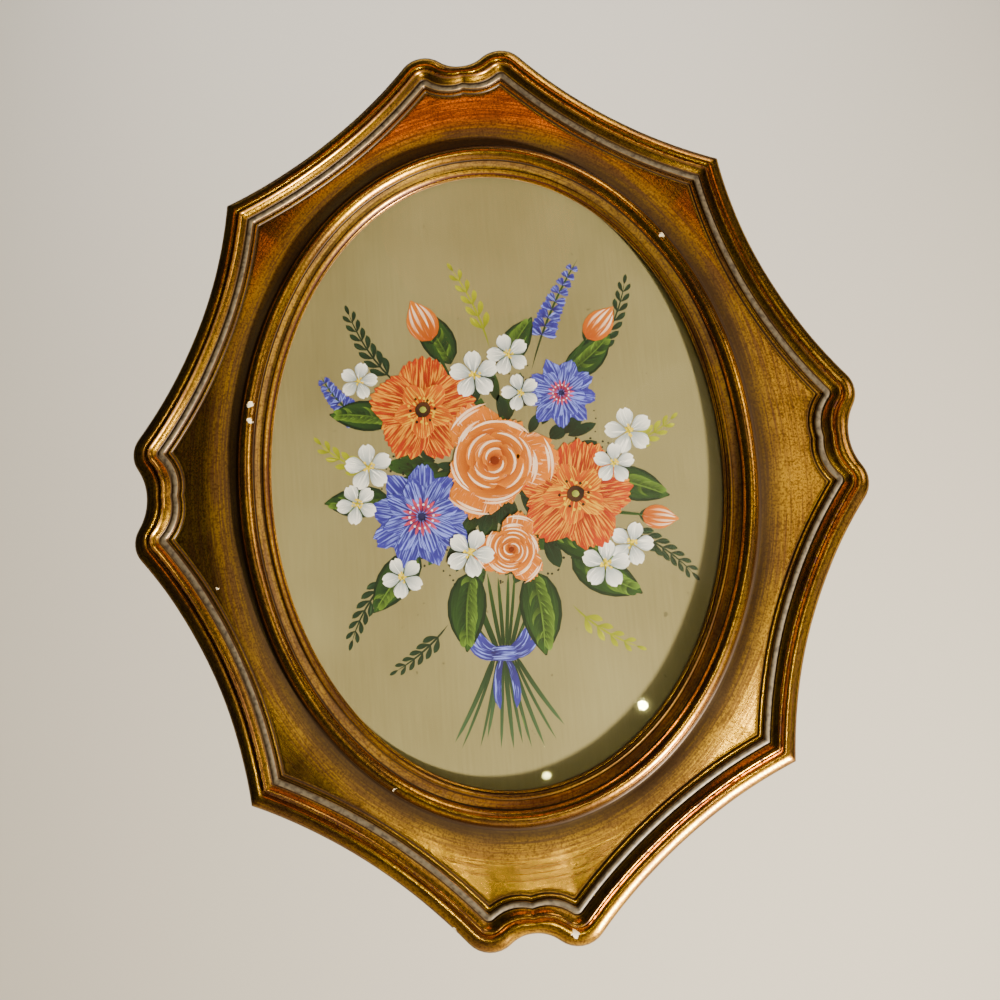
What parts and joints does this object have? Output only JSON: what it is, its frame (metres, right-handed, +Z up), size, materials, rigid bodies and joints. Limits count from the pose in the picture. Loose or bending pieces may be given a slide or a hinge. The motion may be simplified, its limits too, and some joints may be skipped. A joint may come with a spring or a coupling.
{
  "type": "framed oil painting",
  "caption": "Oval flower painting behind glass in a gilded wooden frame with a scalloped, bracketed outline, made to hang on a wall.",
  "frame": {"origin": "hanging point on the flat back of the frame, on its upright middle line, above the oval and just over the nail slot", "axes": "+Z up the picture, +Y into the wall, so the painting looks towards -Y, and +X to the right as seen from the front"},
  "size_m": [0.3196, 0.0214, 0.3984],
  "materials": {
    "gilded_wood": "antiqued metal leaf over red bole, with a silver painted fillet",
    "pane_glass": "polished",
    "oil_paint": "oil paint on board, satin",
    "hardboard": "matt brown"
  },
  "bodies": {
    "root": {"frame": "gilded_wood", "glass": "pane_glass", "painting": "oil_paint", "backing_board": "hardboard"}
  },
  "joints": []
}
